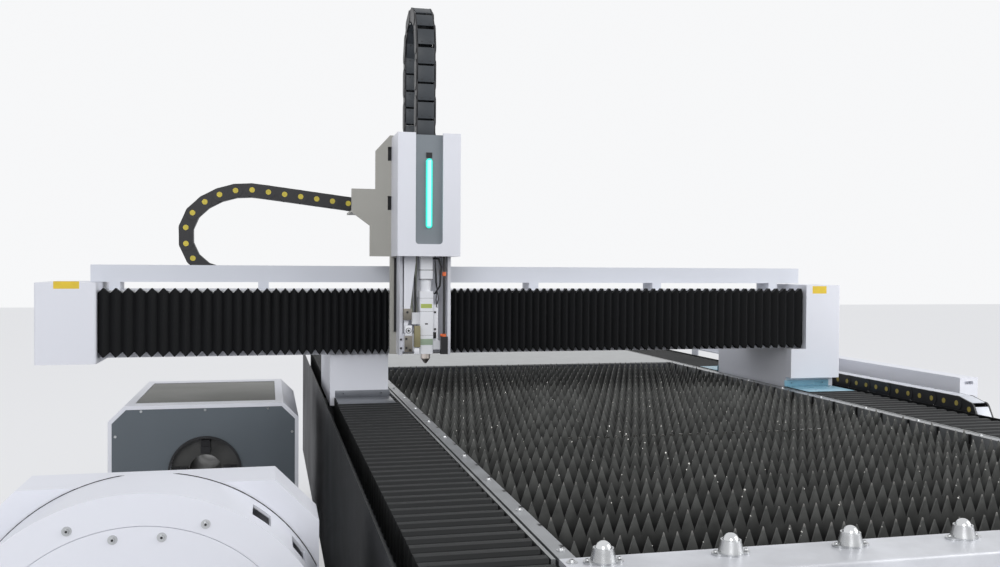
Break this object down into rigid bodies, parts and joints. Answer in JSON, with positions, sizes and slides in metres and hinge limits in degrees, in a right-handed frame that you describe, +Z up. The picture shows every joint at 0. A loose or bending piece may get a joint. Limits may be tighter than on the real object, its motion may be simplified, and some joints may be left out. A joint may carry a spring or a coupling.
{
  "type": "laser cutting machine",
  "caption": "Open gantry laser cutter for sheet, with toothed slats over scrap trays, and two rotary chucks beside the bed for cutting tube.",
  "frame": {"origin": "centre of the machine's footprint, on the floor", "axes": "+X to the right for an operator at the near end, +Y along the bed away from the operator, +Z up"},
  "size_m": [3.495, 5.5, 2.3622],
  "materials": {
    "bed_paint": "dark grey powder coat, slightly textured",
    "panel_paint": "dark slate powder coat",
    "white_paint": "white semi-gloss powder coat",
    "pale_grey_paint": "pale grey powder coat",
    "plate_paint": "beige grey powder coat",
    "slate_paint": "slate grey powder coat",
    "black_fabric": "coated woven cloth, dull black",
    "black_plastic": "glass-filled nylon, dull black",
    "slat_steel": "mill scale and slag, dull",
    "bright_steel": "ground or rolled steel, satin",
    "zinc": "bright zinc plate",
    "chrome": "polished ball steel",
    "dark_steel": "blackened steel",
    "galvanised": "galvanised sheet, spangled",
    "light": "lit translucent green-blue",
    "copper": "turned copper"
  },
  "bodies": {
    "bed": {"bed_frame": "bed_paint", "side_panels": "panel_paint", "guide_strips": "bright_steel", "combs": "galvanised", "slats": "slat_steel", "near_end_plate": "pale_grey_paint", "rear_deck": "galvanised", "transfer_cups": "zinc", "transfer_balls": "chrome", "y_rails": "bright_steel", "y_bellows_front": "black_fabric", "y_bellows_rear": "black_fabric", "y_chain": "black_plastic", "chain_trough": "pale_grey_paint", "side_duct": "white_paint", "tube_bed": "bed_paint", "machine_feet": "zinc", "far_chuck_housing": "white_paint", "far_chuck_panel": "slate_paint", "far_chuck_ring": "black_plastic"},
    "near_tray": {"scrap_tray_near": "bed_paint"},
    "far_tray": {"scrap_tray_far": "bed_paint"},
    "gantry": {"gantry_beam": "white_paint", "saddle_left": "white_paint", "saddle_right": "white_paint", "y_blocks": "bright_steel", "y_gearmotors": "dark_steel", "end_cover_left": "white_paint", "end_cover_right": "white_paint", "cable_tray": "pale_grey_paint", "x_rails": "bright_steel", "x_bellows_left": "black_fabric", "x_bellows_right": "black_fabric", "x_chain": "black_plastic"},
    "carriage": {"carriage_plate": "plate_paint", "x_blocks": "bright_steel", "x_gearmotor": "dark_steel", "z_channel": "white_paint", "z_motor": "dark_steel", "head_hood": "white_paint", "light_panel": "slate_paint", "light_bar": "light", "z_chain": "black_plastic"},
    "head": {"z_plate": "white_paint", "cutting_head": "white_paint", "nozzle": "copper", "head_hoses": "black_plastic"},
    "near_chuck": {"near_chuck_housing": "white_paint", "near_chuck_cover": "white_paint", "tube_blocks": "bright_steel"},
    "near_spindle": {"near_chuck_rotor": "dark_steel"},
    "far_spindle": {"far_chuck_rotor": "dark_steel"},
    "near_jaw_1": {"near_jaw_1": "bright_steel"},
    "near_jaw_2": {"near_jaw_2": "bright_steel"},
    "near_jaw_3": {"near_jaw_3": "bright_steel"},
    "near_jaw_4": {"near_jaw_4": "bright_steel"},
    "far_jaw_1": {"far_jaw_1": "bright_steel"},
    "far_jaw_2": {"far_jaw_2": "bright_steel"},
    "far_jaw_3": {"far_jaw_3": "bright_steel"},
    "far_jaw_4": {"far_jaw_4": "bright_steel"}
  },
  "joints": [
    {"name": "gantry_travel", "type": "slide", "parent": "bed", "child": "gantry", "axis": [0, 1, 0], "range_m": [-1.9, 1.1], "deforming": ["y_bellows_front", "y_bellows_rear", "y_chain"]},
    {"name": "carriage_travel", "type": "slide", "parent": "gantry", "child": "carriage", "axis": [1, 0, 0], "range_m": [-0.82, 1.44], "deforming": ["x_bellows_left", "x_bellows_right", "x_chain"]},
    {"name": "head_travel", "type": "slide", "parent": "carriage", "child": "head", "axis": [0, 0, 1], "range_m": [-0.12, 0.03], "deforming": ["z_chain"]},
    {"name": "near_chuck_travel", "type": "slide", "parent": "bed", "child": "near_chuck", "axis": [0, 1, 0], "range_m": [-1.3, 1.5]},
    {"name": "near_chuck_turn", "type": "hinge", "parent": "near_chuck", "child": "near_spindle", "pos_m": [-1.1665, -1.025, 0.567], "axis": [0, 1, 0], "continuous": true},
    {"name": "far_chuck_turn", "type": "hinge", "parent": "bed", "child": "far_spindle", "pos_m": [-1.1665, 0.686, 0.567], "axis": [0, 1, 0], "continuous": true},
    {"name": "near_tray_slide", "type": "slide", "parent": "bed", "child": "near_tray", "axis": [0, -1, 0], "range_m": [0, 1.9]},
    {"name": "far_tray_slide", "type": "slide", "parent": "bed", "child": "far_tray", "axis": [0, 1, 0], "range_m": [0, 1.9]},
    {"name": "near_jaw_1_slide", "type": "slide", "parent": "near_spindle", "child": "near_jaw_1", "axis": [-1, 0, 0], "range_m": [0, 0.045]},
    {"name": "near_jaw_2_slide", "type": "slide", "parent": "near_spindle", "child": "near_jaw_2", "axis": [0, 0, -1], "range_m": [0, 0.045]},
    {"name": "near_jaw_3_slide", "type": "slide", "parent": "near_spindle", "child": "near_jaw_3", "axis": [1, 0, 0], "range_m": [0, 0.045]},
    {"name": "near_jaw_4_slide", "type": "slide", "parent": "near_spindle", "child": "near_jaw_4", "axis": [0, 0, 1], "range_m": [0, 0.045]},
    {"name": "far_jaw_1_slide", "type": "slide", "parent": "far_spindle", "child": "far_jaw_1", "axis": [-1, 0, 0], "range_m": [0, 0.045]},
    {"name": "far_jaw_2_slide", "type": "slide", "parent": "far_spindle", "child": "far_jaw_2", "axis": [0, 0, -1], "range_m": [0, 0.045]},
    {"name": "far_jaw_3_slide", "type": "slide", "parent": "far_spindle", "child": "far_jaw_3", "axis": [1, 0, 0], "range_m": [0, 0.045]},
    {"name": "far_jaw_4_slide", "type": "slide", "parent": "far_spindle", "child": "far_jaw_4", "axis": [0, 0, 1], "range_m": [0, 0.045]}
  ],
  "couplings": [
    {"joint": "near_jaw_2_slide", "follows": "near_jaw_1_slide", "ratio": 1},
    {"joint": "near_jaw_3_slide", "follows": "near_jaw_1_slide", "ratio": 1},
    {"joint": "near_jaw_4_slide", "follows": "near_jaw_1_slide", "ratio": 1},
    {"joint": "far_jaw_2_slide", "follows": "far_jaw_1_slide", "ratio": 1},
    {"joint": "far_jaw_3_slide", "follows": "far_jaw_1_slide", "ratio": 1},
    {"joint": "far_jaw_4_slide", "follows": "far_jaw_1_slide", "ratio": 1}
  ]
}
